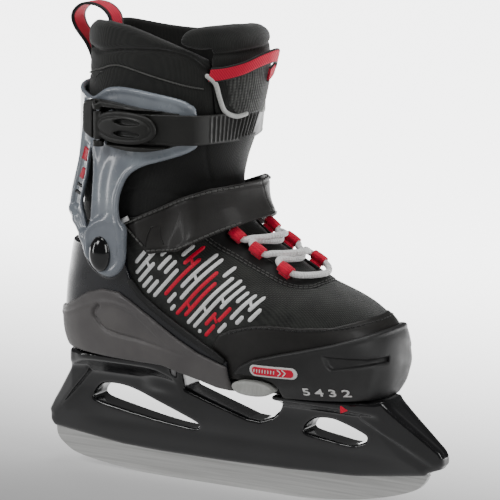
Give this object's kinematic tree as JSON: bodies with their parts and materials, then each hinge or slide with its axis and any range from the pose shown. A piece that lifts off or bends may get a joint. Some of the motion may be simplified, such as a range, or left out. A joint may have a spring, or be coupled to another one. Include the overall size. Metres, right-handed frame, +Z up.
{
  "type": "ice skate",
  "caption": "Size-adjustable child's ice skate, right foot: padded boot in a hard shell with hinged ankle cuff, ratchet buckle, instep strap, laces and a steel blade in a moulded holder.",
  "frame": {"origin": "middle of the blade's running edge, on the ice, under the flat stretch of the blade", "axes": "+X towards the toe, +Y towards the inner side of the right foot, +Z up from the ice"},
  "size_m": [0.284, 0.1062, 0.2986],
  "materials": {
    "brushed_steel": "brushed",
    "gloss_black_plastic": "gloss",
    "shell_plastic": "satin",
    "toe_plastic": "satin",
    "cuff_plastic": "satin",
    "cap_plastic": "gloss",
    "buckle_plastic": "satin",
    "mesh_fabric": "woven",
    "knit_fabric": "knit",
    "synthetic_leather": "grained",
    "red_webbing": "woven",
    "white_cord": "braided",
    "zinc_steel": "plated",
    "insole_foam": "matte",
    "button_plastic": "satin",
    "badge_plastic": "gloss"
  },
  "bodies": {
    "frame": {"runner_blade": "brushed_steel", "blade_holder": "gloss_black_plastic", "heel_bolt": "zinc_steel", "heel_bolt_washer": "zinc_steel", "heel_bolt_nut": "zinc_steel", "toe_bolt": "zinc_steel", "toe_bolt_washer": "zinc_steel", "toe_bolt_nut": "zinc_steel", "rear_shell": "shell_plastic", "boot_upper": "mesh_fabric", "toe_stretch_gusset": "knit_fabric", "tongue_lower": "knit_fabric", "footbed": "insole_foam", "ankle_gusset": "knit_fabric", "ankle_pivot_outer": "cap_plastic", "ankle_pivot_inner": "cap_plastic", "lace_loop_lower_outer": "red_webbing", "lace_loop_lower_inner": "red_webbing", "lace_loop_middle_outer": "red_webbing", "lace_loop_middle_inner": "red_webbing", "lace_loop_top_outer": "red_webbing", "lace_loop_top_inner": "red_webbing", "lace": "white_cord", "instep_strap_anchor": "synthetic_leather"},
    "toe": {"toe_shell": "toe_plastic", "toe_box": "mesh_fabric", "toe_badge": "badge_plastic"},
    "button": {"size_button": "button_plastic", "size_button_spring": "zinc_steel"},
    "cuff": {"cuff": "cuff_plastic", "collar": "knit_fabric", "tongue_upper": "knit_fabric", "heel_pull_loop": "red_webbing", "tongue_pull_loop": "red_webbing", "buckle_base": "buckle_plastic", "ladder_strap": "buckle_plastic", "buckle_lever_pin": "zinc_steel", "buckle_rivet_lower": "zinc_steel", "buckle_rivet_upper": "zinc_steel", "ladder_strap_rivet": "zinc_steel"},
    "lever": {"buckle_lever": "buckle_plastic"},
    "strap": {"instep_strap": "synthetic_leather"}
  },
  "joints": [
    {"name": "toe_slide", "type": "slide", "parent": "frame", "child": "toe", "axis": [1, 0, 0], "range_m": [0, 0.0254], "deforming": ["toe_stretch_gusset"]},
    {"name": "size_button_press", "type": "slide", "parent": "frame", "child": "button", "axis": [0, 1, 0], "range_m": [0, 0.0025], "stiffness_N_per_m": 600, "springref_m": -0.001, "deforming": ["size_button_spring"]},
    {"name": "cuff_pivot", "type": "hinge", "parent": "frame", "child": "cuff", "pos_m": [-0.074, 0, 0.149], "axis": [0, 1, 0], "range_deg": [-4, 12], "stiffness_Nm_per_rad": 6, "deforming": ["ankle_gusset"]},
    {"name": "buckle_lever_hinge", "type": "hinge", "parent": "cuff", "child": "lever", "pos_m": [-0.074, -0.04846, 0.2295], "axis": [0, 0, -1], "range_deg": [0, 75]},
    {"name": "strap_peel", "type": "hinge", "parent": "frame", "child": "strap", "pos_m": [0.01997, 0.002, 0.18419], "axis": [-0.4472, 0, 0.8944], "range_deg": [0, 90]}
  ]
}
